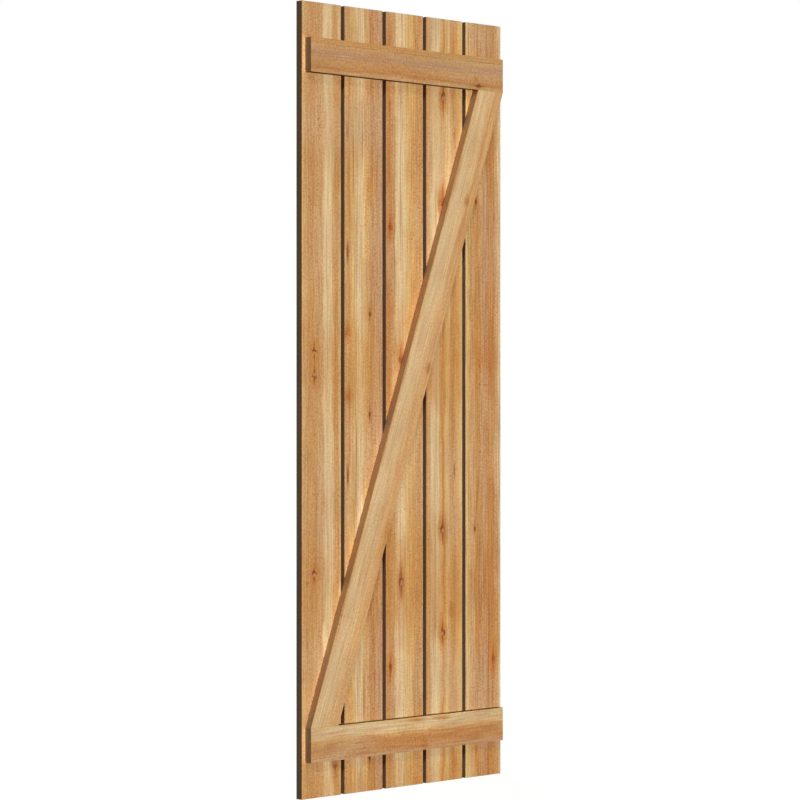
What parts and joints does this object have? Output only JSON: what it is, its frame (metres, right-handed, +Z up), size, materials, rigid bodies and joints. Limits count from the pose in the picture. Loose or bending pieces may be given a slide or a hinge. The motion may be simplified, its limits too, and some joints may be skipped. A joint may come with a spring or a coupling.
{
  "type": "board and batten shutter",
  "caption": "Tall cedar wall shutter of spaced upright boards, held by a level batten near each end and a diagonal brace seated between them.",
  "frame": {"origin": "middle of the back, on the back face of the middle board, which lies against the wall", "axes": "+Z up along the boards, +Y out of the back into the wall, +X across the shutter to the right as seen from the front"},
  "size_m": [0.7494, 0.0412, 2.032],
  "materials": {
    "board_cedar": "clear-finished red cedar, fine sawn face with knots",
    "batten_cedar": "clear-finished red cedar, grain along the batten",
    "brace_cedar": "clear-finished red cedar, pale, grain along the brace"
  },
  "bodies": {
    "root": {"board_1": "board_cedar", "board_2": "board_cedar", "board_3": "board_cedar", "board_4": "board_cedar", "board_5": "board_cedar", "top_batten": "batten_cedar", "bottom_batten": "batten_cedar", "diagonal_brace": "brace_cedar"}
  },
  "joints": []
}
